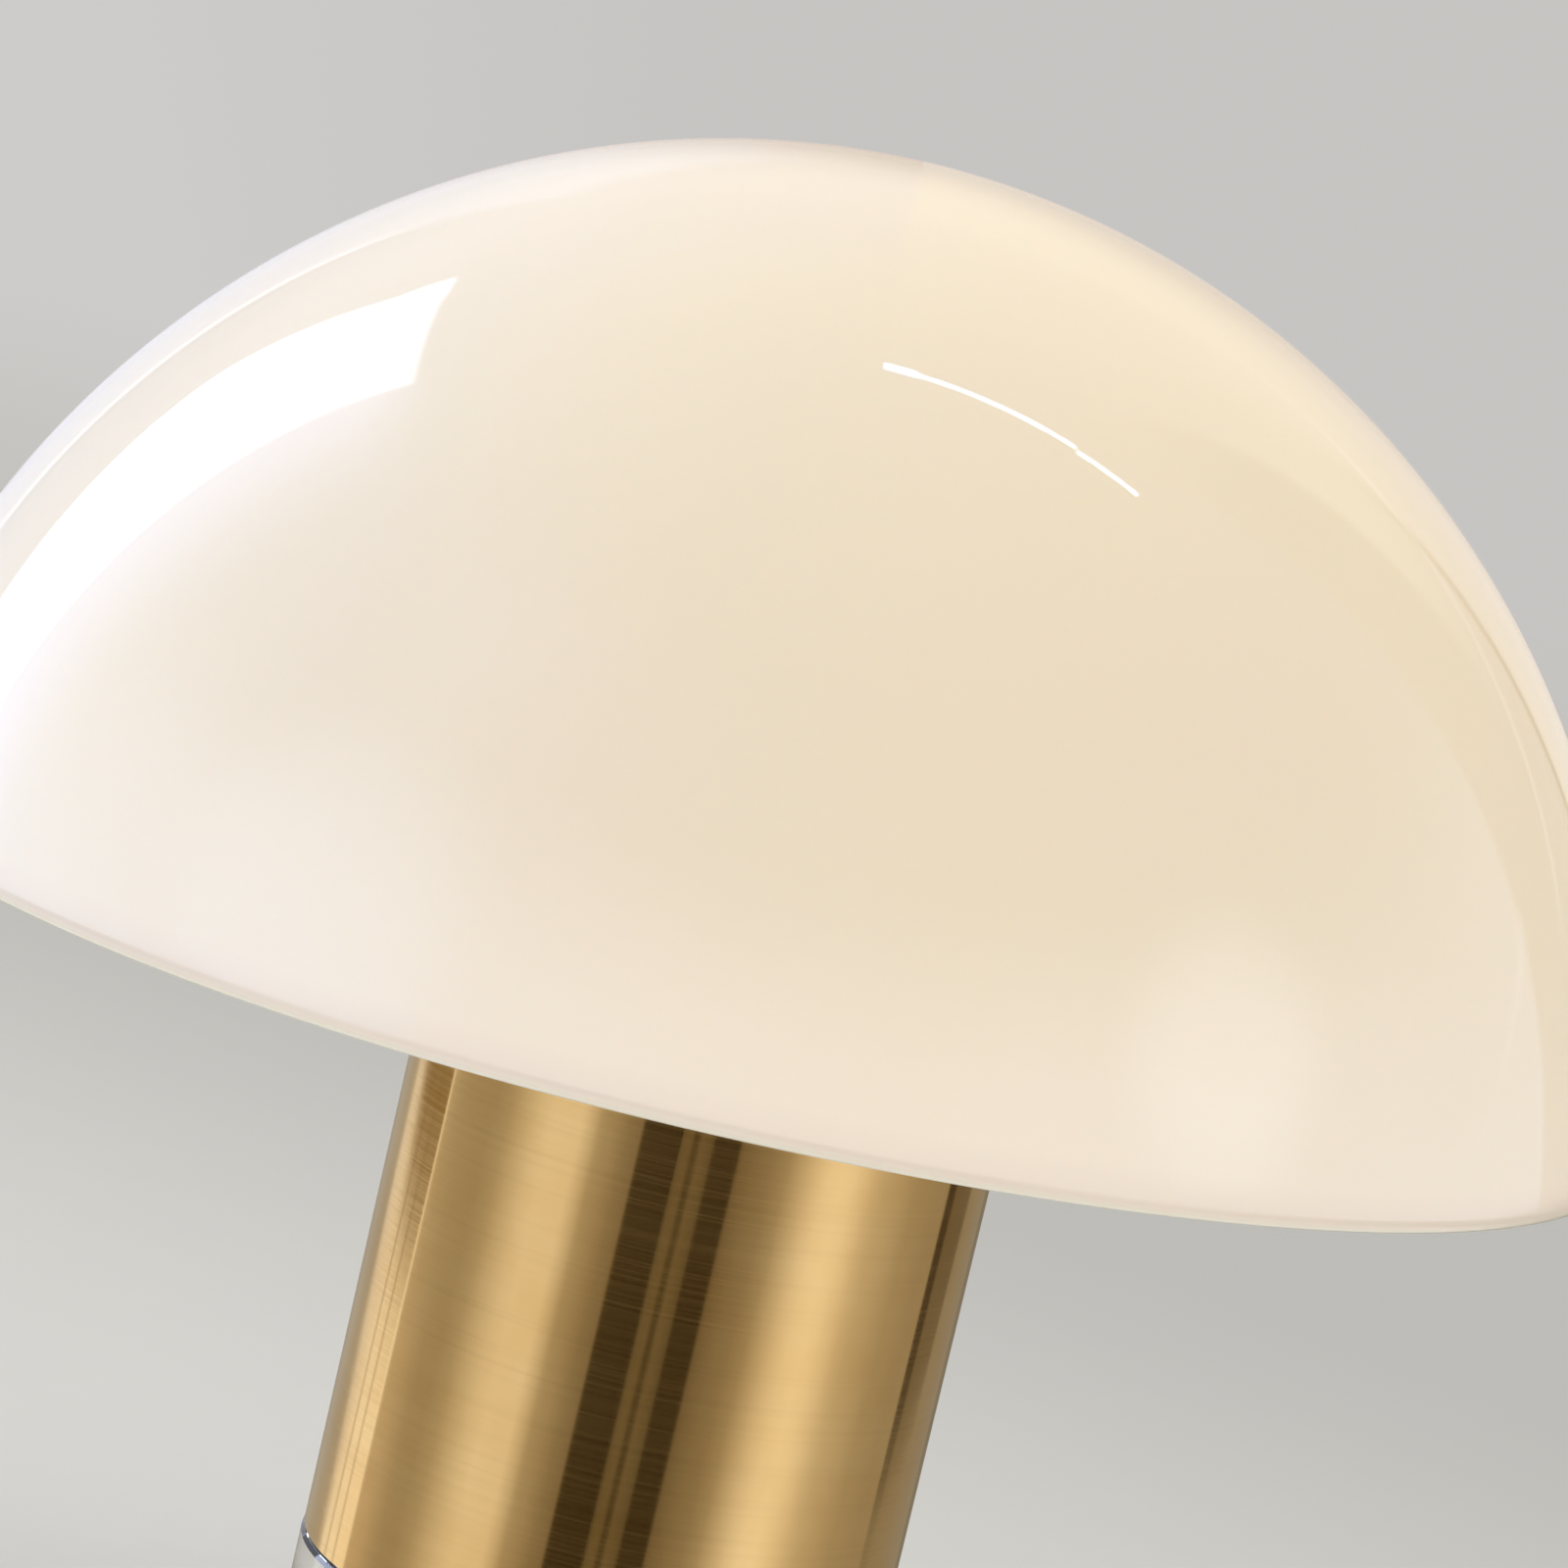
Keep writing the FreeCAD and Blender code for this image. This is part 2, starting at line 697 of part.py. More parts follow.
os.makedirs("parts", exist_ok=True)
for make in NODES:
    shape = make()
    shape.exportStep("parts/" + make.__name__ + ".step")
    print(make.__name__, len(shape.Solids), shape.isValid(), round(shape.Volume))
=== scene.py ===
import json
import math

import bmesh
import bpy
from mathutils import Matrix, Vector


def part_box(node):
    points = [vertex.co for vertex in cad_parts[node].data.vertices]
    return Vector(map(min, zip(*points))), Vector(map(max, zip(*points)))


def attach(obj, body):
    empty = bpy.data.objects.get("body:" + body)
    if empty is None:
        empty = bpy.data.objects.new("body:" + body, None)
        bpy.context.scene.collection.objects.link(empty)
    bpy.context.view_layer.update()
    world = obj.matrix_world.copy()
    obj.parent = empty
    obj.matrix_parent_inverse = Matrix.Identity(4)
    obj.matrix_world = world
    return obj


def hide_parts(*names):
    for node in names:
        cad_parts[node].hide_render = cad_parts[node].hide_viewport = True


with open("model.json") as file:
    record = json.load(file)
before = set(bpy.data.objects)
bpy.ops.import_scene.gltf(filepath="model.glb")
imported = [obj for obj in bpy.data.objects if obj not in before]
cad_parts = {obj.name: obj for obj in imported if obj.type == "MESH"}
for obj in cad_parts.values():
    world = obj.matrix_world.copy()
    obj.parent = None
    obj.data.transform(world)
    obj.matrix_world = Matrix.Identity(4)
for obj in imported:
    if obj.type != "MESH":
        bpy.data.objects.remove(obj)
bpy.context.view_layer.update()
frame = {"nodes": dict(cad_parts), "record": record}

TURN = 2 * math.pi

# Opal dome: an ellipse turned about the axis, placed by its CAD box
DOME_HALF_WIDTH = 0.152
DOME_RISE = 0.1575
DOME_WALL = 0.0045
DOME_RIM_CUT = 0.0246
DOME_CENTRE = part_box("glass_shade")[1][2] - DOME_RISE
DOME_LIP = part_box("glass_shade")[0][2]
DOME_SIDES, DOME_RINGS, LIP_STEPS = 288, 96, 16
# Painted light and shade on the glass just above the lip: a bright bluish line at its foot, a
# darker band a little higher, then a paler band that fades into the glass's own colour
LIP_PAINTED_REACH = 0.040                  # how far up the glass the lip's tones reach
LIP_PAINTED_LIGHT = (                      # share of the reach, share of the glass's colour
    (0.0, (1.08, 1.15, 1.26)), (0.016, (1.08, 1.15, 1.26)), (0.025, (1.00, 1.01, 1.10)),
    (0.037, (0.98, 0.975, 1.07)), (0.044, (0.94, 0.93, 1.01)), (0.054, (0.95, 0.94, 1.02)),
    (0.066, (0.99, 0.985, 1.07)), (0.175, (1.035, 1.04, 1.10)), (0.35, (1.03, 1.035, 1.08)),
    (1.0, (1.0, 1.0, 1.0)),
)

# Threads, in metres: rounded ones of the 27 mm screw cap and of the holder, pointed ones of the
# M10 bolt. A run is where a thread grows or fades: its length, or where it starts and ends, as
# distances from the piece's edge.
CAP_BOX, SHELL_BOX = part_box("bulb_screw_cap"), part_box("holder_screw_shell")
SKIRT_BOX, BOLT_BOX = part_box("holder_skirt"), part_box("base_bolt")
CAP_PITCH = 0.003629
CAP_THREAD_DEPTH = 0.00095
CAP_WALL = 0.0004
CAP_THROAT = 0.01158               # bore of the cap's foot, where the black glass sits
CAP_SHOULDER = 0.0008
CAP_LOW_RUN, CAP_HIGH_RUN = 0.0025, (0.0028, 0.0012)
CAP_SIDES, SHELL_SIDES, SKIRT_SIDES, BOLT_SIDES = 120, 144, 96, 72
THREAD_STEP = 0.00022              # between the rings of a rounded thread
SHELL_LENGTH = 0.018
SHELL_RUN = 0.002
SHELL_LEG_STEPS = 5                # half of a leg's width, in steps round the sleeve
SKIRT_BORE, SKIRT_MOUTH, SKIRT_LIP = 0.0174, 0.0147, 0.002
SKIRT_PITCH, SKIRT_THREAD_DEPTH = 0.002, 0.0007
SKIRT_LOW_RUN, SKIRT_HIGH_RUN = (0.004, 0.007), (0.003, 0.001)
EDGE_BREAK = 0.0003
BOLT_PITCH, BOLT_THREAD_DEPTH, BOLT_RADIUS = 0.0015, 0.00092, 0.005
BOLT_STEPS = 8                     # rings in a turn of its thread
BOLT_RUN = 0.002
BOLT_HEAD_FLATS, BOLT_HEAD_HEIGHT = 0.016, 0.0064
BOLT_CHAMFER = 0.95                # share of the head's flats that its flat face keeps
BOLT_CHAMFER_HEIGHT, BOLT_CHAMFER_STEP = 0.0012, 0.0002
BOLT_PLAIN = 0.022                 # shank without thread over the head

# Photograph's camera, fitted to the dome's outline, its rim and the column's edges
PICTURE = 1600
FOCAL_PIXELS = 5754.676
CAMERA_DISTANCE = 0.94746          # from the middle of the dome's ellipse
CAMERA_ELEVATION = 11.356          # degrees
CENTRE_SHIFT = (-5.666, 312.953)   # pixels, where that middle lies before the roll
CAMERA_ROLL = 13.163               # degrees
SENSOR = 36.0
CAMERA_NEAR = 0.01

# Studio, directions in degrees: azimuth 0 is the camera's side, positive to the right
# Background that the camera sees: plain grey, made paler at the left by painted light
BACKDROP = (0.565, 0.556, 0.541)
BACKDROP_LEFT_PAINTED_LIT = (0.608, 0.602, 0.590)
BACKDROP_CHANGE = (-0.16, -0.04)   # from the one to the other, by how far right a ray goes
# Floor colours with painted light and shade: paler near the lamp in front at the left, darker
# farther back and to the right
FLOOR_PAINTED_LIT = (0.680, 0.675, 0.617)
FLOOR_PAINTED_SHADE = (0.512, 0.509, 0.467)
FLOOR_PAINTED_SHADE_SLOPE = (0.3, 0.5, 0.0)      # the floor's shade runs along this
FLOOR_PAINTED_SHADE_CHANGE = (0.05, 0.36)
FLOOR_CLOUD = (0.50, 0.49, 0.48)
FLOOR_CLOUD_SCALE, FLOOR_CLOUD_SHARE = 40.0, 0.04
GROUND_REACH = 60.0
GROUND_FADE = (0.8, 3.0)           # metres from the lamp, where floor turns into background
FRONT_FADE = (0.45, 0.95)          # the same straight in front of the lamp, where the fill stands
STRIP_LEVEL = 1.27
STRIP_RADIANCE = 10.0
STRIP_COLOUR = (0.42, 0.66, 1.0)
STRIPS = (                         # name, middle and size in metres
    ("overhead_strip_head", 0.042, 0.1755, 0.06, 0.025),
    ("overhead_strip", 0.221, 0.174, 0.302, 0.016),
    ("overhead_strip_end", 0.447, 0.163, 0.144, 0.017),
)
FILL_PLACES = ((0.15, -1.3, 0.22), (0.0, 0.0, 0.17))  # where it stands and what it faces
FILL_SIZE = (1.2, 0.4)
FILL_RADIANCE = 1.3
FILL_COLOUR = (0.72, 0.80, 1.0)


def angles(azimuth, elevation):
    """Unit vector of a direction."""
    a, e = math.radians(azimuth), math.radians(elevation)
    return Vector((math.sin(a) * math.cos(e), -math.cos(a) * math.cos(e), math.sin(e)))


# Node helpers

MIX_INPUTS, MIX_OUTPUT = (0, 6, 7), 2  # of a colour mix: its share and two colours, the result


def add(tree, kind, **inputs):
    """New node of a tree; a name that isn't a property of the node is one of its inputs."""
    node = tree.nodes.new("ShaderNode" + kind)
    for name, value in inputs.items():
        if hasattr(node, name):
            setattr(node, name, value)
        else:
            socket(node, name).default_value = value
    return node


def socket(node, name):
    """Input of a node by its name, written with underscores for spaces, or by its number."""
    if name[:2] == "in" and name[2:].isdigit():
        return node.inputs[int(name[2:])]
    return node.inputs[name.replace("_", " ")]


def join(tree, output, node, name):
    """Link from an output, or from a node's first output, to an input."""
    source = output if isinstance(output, bpy.types.NodeSocket) else output.outputs[0]
    tree.links.new(source, socket(node, name))


def maths(tree, operation, first, second=None):
    """Math node of two values or outputs."""
    node = add(tree, "Math", operation=operation)
    for name, value in (("in0", first), ("in1", second)):
        if isinstance(value, (int, float)):
            socket(node, name).default_value = value
        elif value is not None:
            join(tree, value, node, name)
    return node.outputs[0]


def remap(tree, value, low, high, to_low, to_high, smooth=False):
    """A value's range carried over to another."""
    node = add(tree, "MapRange", From_Min=low, From_Max=high, To_Min=to_low, To_Max=to_high)
    if smooth:
        node.interpolation_type = "SMOOTHSTEP"
    join(tree, value, node, "Value")
    return node.outputs[0]


def ramp(tree, value, stops):
    """Straight colour ramp from (place, colour) stops, 32 at most."""
    node = add(tree, "ValToRGB")
    elements = node.color_ramp.elements
    while len(elements) < len(stops):
        elements.new(1.0)
    for element, (place, tone) in zip(elements, stops):
        element.position = place
        element.color = (*tone, 1)
    join(tree, value, node, "Fac")
    return node.outputs[0]


def mix(tree, share, first, second, blend="MIX"):
    """Mixed colour; each colour is an output or a tuple."""
    node = add(tree, "Mix", data_type="RGBA", blend_type=blend)
    for number, value in zip(MIX_INPUTS, (share, first, second)):
        if isinstance(value, tuple):
            node.inputs[number].default_value = (*value, 1)
        elif isinstance(value, (int, float)):
            node.inputs[number].default_value = value
        else:
            tree.links.new(value, node.inputs[number])
    return node.outputs[MIX_OUTPUT]


# Studio

# What the brass mirrors below the horizon, by how far round from the camera's side: (azimuth,
# level). Dim light is browner in the brass, so each level is taken to the powers of BRONZE.
BRONZE = (1.0, 1.08, 1.28)
LOW_LEFT = (
    (0, 0.08), (1, 0.16), (4.5, 0.15), (5.5, 0.045), (19.5, 0.055), (20.3, 0.24), (25, 0.29),
    (31, 0.40), (36, 0.47), (39, 0.66), (44, 0.88), (56, 0.89), (62, 0.80),
    (69, 0.64), (76, 0.48), (84, 0.41), (98, 0.43), (105, 0.47), (109.9, 0.54), (110.9, 1.10),
    (118.9, 1.12), (119.7, 0.45), (120.5, 1.10), (126, 1.08), (127, 0.50), (128, 1.04),
    (133, 0.95), (142, 0.84), (146, 0.53), (156, 0.50), (163, 0.41), (180, 0.40),
)
LOW_RIGHT = (
    (0, 0.08), (1.5, 0.09), (2.5, 0.17), (7, 0.13), (7.8, 0.048), (17.2, 0.048), (18, 0.18),
    (25, 0.26), (31, 0.31), (37, 0.41), (43, 0.62), (49, 0.84), (54, 0.98), (60, 1.04),
    (65, 1.00), (70, 0.88), (75, 0.73), (80, 0.63), (88, 0.54), (97, 0.44), (110, 0.38),
    (117.6, 0.37), (118.4, 0.35), (135, 0.33), (158, 0.31), (163, 0.22), (180, 0.26),
)
# The studio just over the horizon, higher up, and overhead: (azimuth, colour)
MIDDLE_PANELS = (
    (-180, (0.66, 0.56, 0.50)), (-168, (0.62, 0.58, 0.58)), (-152, (0.61, 0.60, 0.66)),
    (-140, (0.70, 0.69, 0.84)), (-118, (0.77, 0.84, 0.94)), (-98, (1.14, 1.27, 1.52)),
    (-60, (1.40, 1.58, 1.92)), (-25, (1.25, 1.20, 1.24)), (0, (1.27, 1.14, 1.04)),
    (25, (1.34, 1.20, 1.12)), (60, (1.38, 1.46, 1.68)), (90, (1.24, 1.38, 1.68)),
    (124.2, (1.16, 1.16, 1.28)), (124.7, (0.77, 0.65, 0.57)), (149.4, (0.80, 0.71, 0.62)),
    (149.8, (0.42, 0.30, 0.12)), (150.6, (0.42, 0.30, 0.12)), (151.0, (1.00, 0.92, 0.85)),
    (163, (0.94, 0.87, 0.81)), (172, (0.74, 0.66, 0.60)),
)
HIGH_PANELS = (
    (-174, (1.20, 1.12, 1.10)), (-150, (1.08, 1.07, 1.18)), (-126, (0.87, 0.98, 1.22)),
    (-102, (0.64, 0.86, 1.26)), (-78, (0.56, 0.66, 1.08)), (-54, (0.80, 0.92, 1.28)),
    (-30, (0.50, 0.42, 0.56)), (0, (0.36, 0.21, 0.07)), (30, (0.40, 0.31, 0.04)),
    (60, (0.43, 0.42, 0.46)), (90, (0.57, 0.58, 0.70)), (124.2, (0.95, 0.96, 1.00)),
    (124.7, (0.84, 0.74, 0.55)), (140.6, (0.95, 0.86, 0.62)), (141.4, (1.34, 1.26, 1.04)),
    (151.9, (1.32, 1.22, 0.98)), (152.4, (1.24, 1.12, 0.86)), (153.0, (1.40, 1.30, 1.10)),
    (165, (1.36, 1.24, 1.04)),
)
CEILING_FRONT = (0.38, 0.30, 0.10)
CEILING_BACK = (1.52, 1.38, 1.02)
MIRRORED_FLOOR = (0.85, 0.82, 0.76)
FLOOR_TO_LOW = (-34.0, -24.0)
LOW_TO_MIDDLE = (-7.0, -3.0)
MIDDLE_TO_HIGH = (12.0, 36.0)
CEILING_FROM = (45.0, 70.0)
CEILING_CHANGE = (-0.6, 0.6)       # from its front to its back, by how far back a ray goes
# Round glows: azimuth, elevation, radius of the full part and of the whole, colour
GLOWS = (
    (66, 17, 3, 17, (1.12, 1.28, 1.46)),
    (-84, 9, 5, 22, (0.14, 0.24, 0.46)),
    (-54, 14, 5, 24, (0.54, 0.84, 1.36)),
)
SHARP = 0.5                        # blur of a crisp edge, in degrees
SOFTBOX = (3.0, 3.4, 4.6)
# Panels with straight edges: a colour that is added, and edges as (start, end, blur), each with
# the panel on its left when the sphere of directions is seen from outside
PANELS = (
    # Softbox behind the lamp at the left
    (SOFTBOX, (
        ((-128.5, -2), (-116.4, -2), SHARP), ((-116.4, -2), (-117.8, 46.6), SHARP),
        ((-117.8, 46.6), (-142.0, 39.3), SHARP), ((-140.6, 40), (-138.4, 22), SHARP),
        ((-138.3, 22), (-128.5, -2), SHARP))),
    # Its pointed upper end
    (SOFTBOX, (
        ((-117.8, 46.6), (-142.9, 39.1), SHARP), ((-143.1, 39.4), (-140.2, 35.6), 0.4),
        ((-140.6, 35.6), (-138.6, 41.2), SHARP))),
    # Its spill on the diffuser beside it
    ((1.0, 1.2, 2.3), (
        ((-116.4, -2), (-104, -2), 5.0), ((-106, -2), (-106, 50), 11.0),
        ((-100, 46), (-120, 46), 4.0), ((-117.8, 46.6), (-116.4, -2), SHARP))),
    # Leaning edge of the backdrop at the left
    ((0.22, 0.27, 0.38), (
        ((-147.3, 0), (-160.5, 29.5), SHARP), ((-160.5, 30), (-177, 21), 1.5),
        ((-173, 21), (-173, 0), 6.0))),
    ((0.36, 0.36, 0.38), (
        ((-147.3, 0), (-160.5, 29.5), 0.3), ((-162.3, 29.5), (-149.0, 0), 0.4),
        ((-150, 20), (-170, 20), 2.5), ((-170, 1), (-140, 1), 1.0))),
    # Thin bright lines at the right
    ((0.35, 0.42, 0.48), (
        ((125.9, 13.2), (145.0, 22.0), 0.4), ((145.4, 23.2), (126.5, 14.4), 0.4),
        ((125.5, 10), (125.5, 20), 0.5))),
    ((0.28, 0.33, 0.38), (
        ((135.0, 6.3), (144.6, 16.2), 0.4), ((144.2, 17.0), (134.4, 7.1), 0.4),
        ((134, 12), (140, 2), 2.5))),
)
# Panels below the horizon that end slantwise: their own colour, and edges as above
LOW_PATCHES = (
    ((0.265, 0.20, 0.092), (
        ((-111.2, -16), (-111.2, -4), 0.25), ((-135.8, -11.8), (-129.3, -13.05), 0.25),
        ((-129.3, -13.05), (-112, -13.95), 0.15))),
    ((0.45, 0.44, 0.40), (
        ((-134.3, -16.5), (-145.3, -12.8), 0.8), ((-133, -30), (-133, -4), SHARP),
        ((-162, -4), (-162, -30), 4.0))),
    ((0.63, 0.575, 0.50), (
        ((-110.2, -4), (-110.2, -30), 0.4), ((-99, -30), (-99, -4), 9.0),
        ((-95, -14.2), (-113, -14.2), 1.6))),
    ((0.18, 0.155, 0.11), (
        ((118.1, -4), (118.1, -16), 0.3), ((118.0, -15.0), (133.0, -14.1), 0.15),
        ((134.5, -16), (139.5, -9), 0.4))),
    ((0.07, 0.056, 0.034), (
        ((118.1, -4), (118.1, -16), 0.3), ((118.0, -15.0), (133.0, -14.1), 0.15),
        ((123.2, -16), (123.6, -9), 0.8))),
)


def panel_ramp(tree, turn, panels, span=360):
    """Ramp of colours by azimuth, over the whole circle or over half of it from 0."""
    start = -180 if span == 360 else 0
    stops = [((azimuth - start) / span, tone) for azimuth, tone in panels]
    return ramp(tree, turn, stops)


def bronzed(panels):
    """Levels as the colours that a dark patina gives them."""
    return [(azimuth, tuple(level ** power for power in BRONZE)) for azimuth, level in panels]


def toward(tree, direction, axis):
    """Dot product of the direction with an axis."""
    node = add(tree, "VectorMath", operation="DOT_PRODUCT", in1=axis)
    join(tree, direction, node, "in0")
    return node.outputs["Value"]


def glow(tree, direction, azimuth, elevation, inner, outer):
    """Soft round patch in a direction, 1 inside and 0 outside."""
    near, far = math.cos(math.radians(inner)), math.cos(math.radians(outer))
    facing = toward(tree, direction, angles(azimuth, elevation))
    return remap(tree, facing, far, near, 0, 1, smooth=True)


def edge(tree, direction, start, end, blur):
    """1 on one side of the great circle through two directions and 0 on the other."""
    axis = angles(*start).cross(angles(*end)).normalized()
    reach = math.sin(math.radians(blur))
    return remap(tree, toward(tree, direction, axis), -reach, reach, 0, 1, smooth=True)


def panel(tree, direction, edges):
    """Patch with straight edges, 1 inside all of them."""
    inside = None
    for start, end, blur in edges:
        side = edge(tree, direction, start, end, blur)
        inside = side if inside is None else maths(tree, "MULTIPLY", inside, side)
    return inside


def over(tree, height, elevations):
    """0 below the first elevation and 1 over the second, for a direction's height."""
    low, high = (math.sin(math.radians(e)) for e in elevations)
    return remap(tree, height, low, high, 0, 1, smooth=True)


def upper_studio(tree, direction, turn, depth, height):
    """Walls and ceiling over the horizon, with the glows and the sharp panels on them."""
    level = panel_ramp(tree, turn, MIDDLE_PANELS)
    high = panel_ramp(tree, turn, HIGH_PANELS)
    level = mix(tree, over(tree, height, MIDDLE_TO_HIGH), level, high)
    ceiling = mix(tree, remap(tree, depth, *CEILING_CHANGE, 0, 1), CEILING_FRONT, CEILING_BACK)
    level = mix(tree, over(tree, height, CEILING_FROM), level, ceiling)
    patches = [(glow(tree, direction, *place), colour) for *place, colour in GLOWS]
    patches += [(panel(tree, direction, edges), colour) for colour, edges in PANELS]
    for patch, colour in patches:
        level = mix(tree, patch, level, mix(tree, 1.0, level, colour, "ADD"))
    return level


def lower_studio(tree, direction, turn, across, height):
    """What is mirrored below the horizon: panels, and steeper down the floor."""
    away = maths(tree, "ABSOLUTE", remap(tree, turn, 0, 1, -1, 1))
    sides = [panel_ramp(tree, away, bronzed(side), 180) for side in (LOW_LEFT, LOW_RIGHT)]
    level = mix(tree, maths(tree, "GREATER_THAN", across, 0.0), *sides)
    for colour, edges in LOW_PATCHES:
        level = mix(tree, panel(tree, direction, edges), level, colour)
    return mix(tree, over(tree, height, FLOOR_TO_LOW), MIRRORED_FLOOR, level)


def studio_light():
    """World: a pale studio with soft panels, cooler on the left and warmer on the right."""
    world = bpy.data.worlds.new("studio")
    world.use_nodes = True
    tree = world.node_tree
    tree.nodes.clear()
    direction = add(tree, "TexCoord").outputs["Generated"]
    parts = add(tree, "SeparateXYZ")
    join(tree, direction, parts, "Vector")
    x, y, z = parts.outputs
    turn = maths(tree, "ARCTAN2", x, maths(tree, "MULTIPLY", y, -1.0))
    turn = remap(tree, turn, -math.pi, math.pi, 0, 1)
    upper = upper_studio(tree, direction, turn, y, z)
    lower = lower_studio(tree, direction, turn, x, z)
    level = mix(tree, over(tree, z, LOW_TO_MIDDLE), lower, upper)
    lit, seen = add(tree, "Background", Strength=1.0), add(tree, "Background", Strength=1.0)
    join(tree, level, lit, "Color")
    join(tree, backdrop_tone(tree, x), seen, "Color")
    choice, out = add(tree, "MixShader"), add(tree, "OutputWorld")
    join(tree, add(tree, "LightPath").outputs["Is Camera Ray"], choice, "Fac")
    join(tree, lit, choice, "in1")
    join(tree, seen, choice, "in2")
    join(tree, choice, out, "Surface")
    bpy.context.scene.world = world


def backdrop_tone(tree, aside):
    """Plain background, a little paler at the left with painted light."""
    return mix(tree, remap(tree, aside, *BACKDROP_CHANGE, 0, 1), BACKDROP_LEFT_PAINTED_LIT, BACKDROP)


def panel_light(name, place, aim, width, height, radiance, colour):
    """Rectangular area light of a radiance, aimed at a point and hidden from the camera."""
    lamp = bpy.data.lights.new(name, "AREA")
    lamp.shape = "RECTANGLE"
    lamp.size, lamp.size_y = width, height
    lamp.energy = radiance * math.pi * width * height
    lamp.color = colour
    holder = bpy.data.objects.new(name, lamp)
    bpy.context.collection.objects.link(holder)
    holder.location = place
    holder.rotation_euler = (Vector(aim) - Vector(place)).to_track_quat("-Z", "Y").to_euler()
    holder.visible_camera = False
    return holder


def studio_lamps():
    """Two thin strips overhead, end to end, and a soft fill low in front."""
    for name, x, y, length, width in STRIPS:
        place, below = (x, y, STRIP_LEVEL), (x, y, 0)
        panel_light(name, place, below, length, width, STRIP_RADIANCE, STRIP_COLOUR)
    fill = panel_light("front_fill", *FILL_PLACES, *FILL_SIZE, FILL_RADIANCE, FILL_COLOUR)
    fill.visible_glossy = False


def ground():
    """Pale floor, hidden from mirror rays so that the metal sees the panels."""
    mesh = bpy.data.meshes.new("floor")
    reach = GROUND_REACH
    corners = [(-reach, -reach, 0), (reach, -reach, 0), (reach, reach, 0), (-reach, reach, 0)]
    mesh.from_pydata(corners, [], [(0, 1, 2, 3)])
    floor = bpy.data.objects.new("floor", mesh)
    bpy.context.collection.objects.link(floor)
    floor.visible_glossy = False
    mesh.materials.append(ground_surface())


def ground_surface():
    """Matt grey with painted light and shade: paler near the lamp in front at the left, darker
    farther back and to the right; far from the lamp it turns into the plain background that the
    camera sees."""
    tree, shader = surface("pale_floor", FLOOR_PAINTED_LIT, 1.0)
    settle(shader, Specular_IOR_Level=0.0)
    place = add(tree, "TexCoord").outputs["Object"]
    painted_shade_share = remap(tree, toward(tree, place, FLOOR_PAINTED_SHADE_SLOPE), *FLOOR_PAINTED_SHADE_CHANGE, 0, 1, smooth=True)
    # Painted light and shade: the floor's colour runs from the lit tone to the shaded tone
    tone = mix(tree, painted_shade_share, FLOOR_PAINTED_LIT, FLOOR_PAINTED_SHADE)
    cloud = remap(tree, grain(tree, FLOOR_CLOUD_SCALE, 3.0), *NOISE_SPREAD, 0, FLOOR_CLOUD_SHARE)
    join(tree, mix(tree, cloud, tone, FLOOR_CLOUD), shader, "Base_Color")
    reach = add(tree, "VectorMath", operation="LENGTH")
    join(tree, place, reach, "in0")
    far = remap(tree, reach.outputs["Value"], *GROUND_FADE, 0, 1, smooth=True)
    front = remap(tree, toward(tree, place, (0, -1, 0)), *FRONT_FADE, 0, 1, smooth=True)
    far = maths(tree, "MAXIMUM", far, front)
    heading, parts = add(tree, "VectorMath", operation="NORMALIZE"), add(tree, "SeparateXYZ")
    join(tree, place, heading, "in0")
    join(tree, heading, parts, "Vector")
    backdrop, choice = add(tree, "Emission", Strength=1.0), add(tree, "MixShader")
    join(tree, backdrop_tone(tree, parts.outputs[0]), backdrop, "Color")
    seen = maths(tree, "MULTIPLY", far, add(tree, "LightPath").outputs["Is Camera Ray"])
    join(tree, seen, choice, "Fac")
    join(tree, shader, choice, "in1")
    join(tree, backdrop, choice, "in2")
    join(tree, choice, tree.nodes["Material Output"], "Surface")
    return bpy.data.materials["pale_floor"]


def photo_camera():
    """Camera of the photograph: its own aim comes from where the dome lies in the picture."""
    elevation = math.radians(CAMERA_ELEVATION)
    away = Vector((0, -math.cos(elevation), math.sin(elevation)))
    right = Vector((1, 0, 0))
    down = (-away).cross(right)
    level = Matrix((right, down, -away))
    aside = math.atan(CENTRE_SHIFT[0] / FOCAL_PIXELS)
    below = math.atan(CENTRE_SHIFT[1] / FOCAL_PIXELS)
    pan = Matrix.Rotation(aside, 3, "Y")
    tilt = Matrix.Rotation(-below, 3, "X")
    roll = Matrix.Rotation(math.radians(CAMERA_ROLL), 3, "Z")
    across, downwards, forwards = roll @ tilt @ pan @ level
    turn = Matrix((across, -downwards, -forwards)).transposed()
    data = bpy.data.cameras.new("photo_camera")
    data.sensor_width = SENSOR
    data.lens = FOCAL_PIXELS / PICTURE * SENSOR
    data.clip_start, data.clip_end = CAMERA_NEAR, 2 * GROUND_REACH
    camera = bpy.data.objects.new("photo_camera", data)
    place = Vector((0, 0, DOME_CENTRE)) + away * CAMERA_DISTANCE
    camera.matrix_world = Matrix.Translation(place) @ turn.to_4x4()
    bpy.context.collection.objects.link(camera)
    bpy.context.scene.camera = camera


# Surfaces

# Parts of a noise's values that a change runs over
NOISE_SPREAD, NOISE_MIDDLE = (0.3, 0.7), (0.35, 0.65)
# Brushing of the brass: how finely its noise lies across and along the axis
BRASS_STROKES, BRASS_LINES = (9, 9, 900), (5, 5, 2400)
WORN_STROKES, WORN_SHARE = (0.48, 0.78), 0.4
BRASS_ROUGHNESS = (0.07, 0.11)
BRASS_RELIEF = (0.02, 0.00001)     # strength, and depth in metres
SPECKS, SPECK_SHARE = (0.68, 0.74), 0.4
